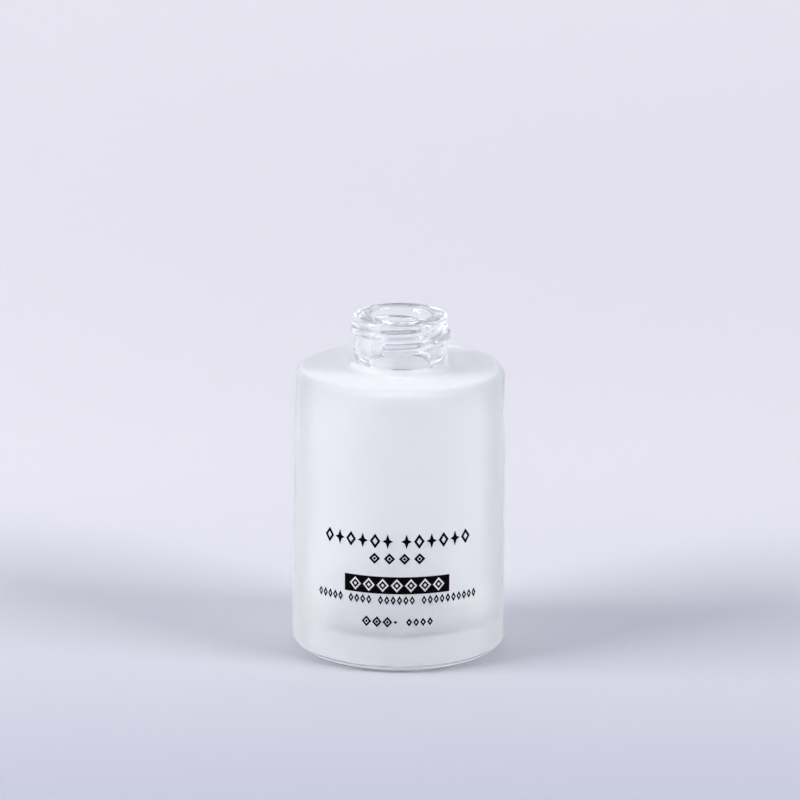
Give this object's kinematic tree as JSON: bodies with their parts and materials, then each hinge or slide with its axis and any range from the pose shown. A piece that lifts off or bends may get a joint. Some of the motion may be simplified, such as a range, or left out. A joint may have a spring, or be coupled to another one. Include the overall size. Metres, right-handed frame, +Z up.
{
  "type": "foundation bottle",
  "caption": "Open frosted glass bottle for liquid makeup: round straight body, flat shoulder, short clear screw neck, thick base and printed ornament rows on the front.",
  "frame": {"origin": "centre of the foot, on the standing surface", "axes": "+Z up along the bottle's axis, printed side facing -Y, +X to the right of the printed side"},
  "size_m": [0.036, 0.036, 0.0576],
  "materials": {
    "clear_glass": "clear, fire-polished",
    "frosted_surface": "matt sprayed frost",
    "printed_ink": "black screen-printed ink"
  },
  "bodies": {
    "root": {"glass_bottle": "clear_glass", "frost_coating": "frosted_surface", "ink_heading": "printed_ink", "ink_subheading": "printed_ink", "ink_band": "printed_ink", "ink_product_line": "printed_ink", "ink_volume_line": "printed_ink"}
  },
  "joints": []
}
